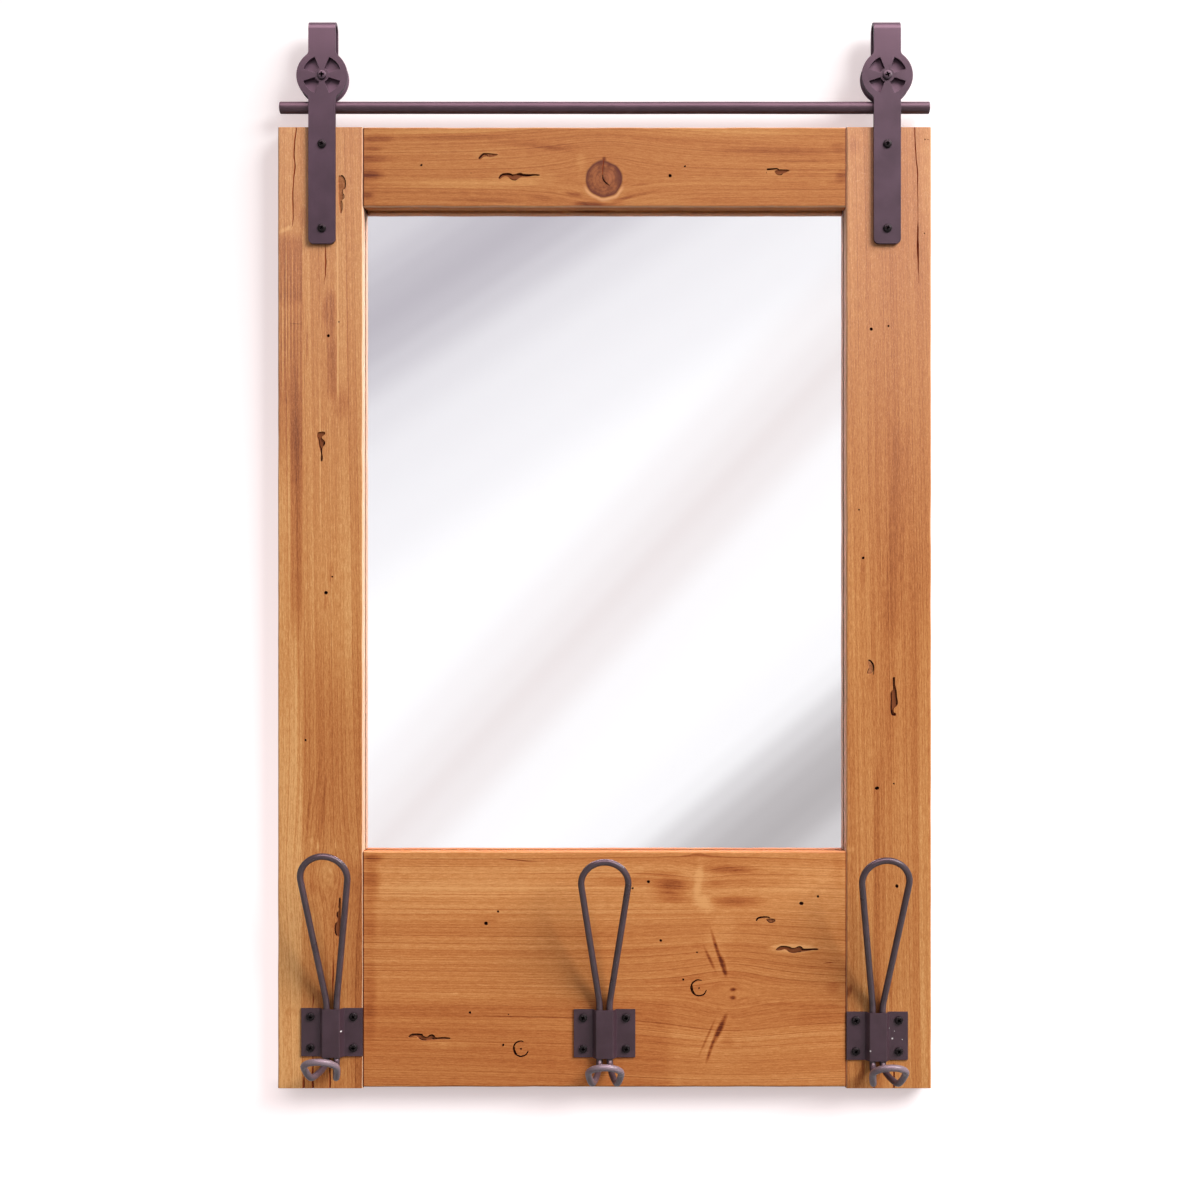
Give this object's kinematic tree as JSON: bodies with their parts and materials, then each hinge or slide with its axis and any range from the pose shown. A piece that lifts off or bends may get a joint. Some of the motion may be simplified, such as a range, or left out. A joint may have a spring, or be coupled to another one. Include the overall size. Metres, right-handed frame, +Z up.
{
  "type": "wall mirror with coat hooks",
  "caption": "Wooden-framed wall mirror with barn-door style hanger straps, wheels and rail at the top and bent-wire coat hooks along its wide bottom board.",
  "frame": {"origin": "on the wall plane, midway between the two hanging points of the keyhole plates, at the back of the top rail", "axes": "+Z up, the front of the mirror faces -Y and the wall lies at y = 0, +X to the right as seen from the front"},
  "size_m": [0.612, 0.0949, 0.9995],
  "materials": {
    "pine_boards": "brushed pine with a clear orange-brown stain, knots, cracks and worm holes",
    "birch_dowels": "plain turned birch",
    "mirror_glass": "clear silvered glass",
    "hardboard": "smooth brown hardboard",
    "bronze_metal": "satin dark bronze powder coat",
    "black_screws": "black oxide, slightly glossy",
    "zinc_steel": "bright zinc plating",
    "nylon": "natural nylon"
  },
  "bodies": {
    "frame": {"left_stile": "pine_boards", "right_stile": "pine_boards", "top_rail": "pine_boards", "bottom_board": "pine_boards", "frame_dowels": "birch_dowels", "mirror_glass": "mirror_glass", "backing_panel": "hardboard", "backing_screws": "zinc_steel", "left_keyhole_plate": "zinc_steel", "right_keyhole_plate": "zinc_steel", "keyhole_plate_screws": "zinc_steel", "left_strap": "bronze_metal", "right_strap": "bronze_metal", "strap_screws": "black_screws", "rail_rod": "bronze_metal", "rail_welds": "bronze_metal", "left_axle_bolt": "bronze_metal", "right_axle_bolt": "bronze_metal", "axle_nuts": "black_screws", "wheel_washers": "nylon", "left_hook_bracket": "bronze_metal", "middle_hook_bracket": "bronze_metal", "right_hook_bracket": "bronze_metal", "left_hook_wire": "bronze_metal", "middle_hook_wire": "bronze_metal", "right_hook_wire": "bronze_metal", "left_hook_screws": "black_screws", "middle_hook_screws": "black_screws", "right_hook_screws": "black_screws"},
    "left_wheel": {"left_wheel": "bronze_metal"},
    "right_wheel": {"right_wheel": "bronze_metal"}
  },
  "joints": [
    {"name": "left_wheel_spin", "type": "hinge", "parent": "frame", "child": "left_wheel", "pos_m": [-0.2642, -0.0145, 0.0915], "axis": [0, 1, 0], "continuous": true},
    {"name": "right_wheel_spin", "type": "hinge", "parent": "frame", "child": "right_wheel", "pos_m": [0.2642, -0.0145, 0.0915], "axis": [0, 1, 0], "continuous": true}
  ]
}
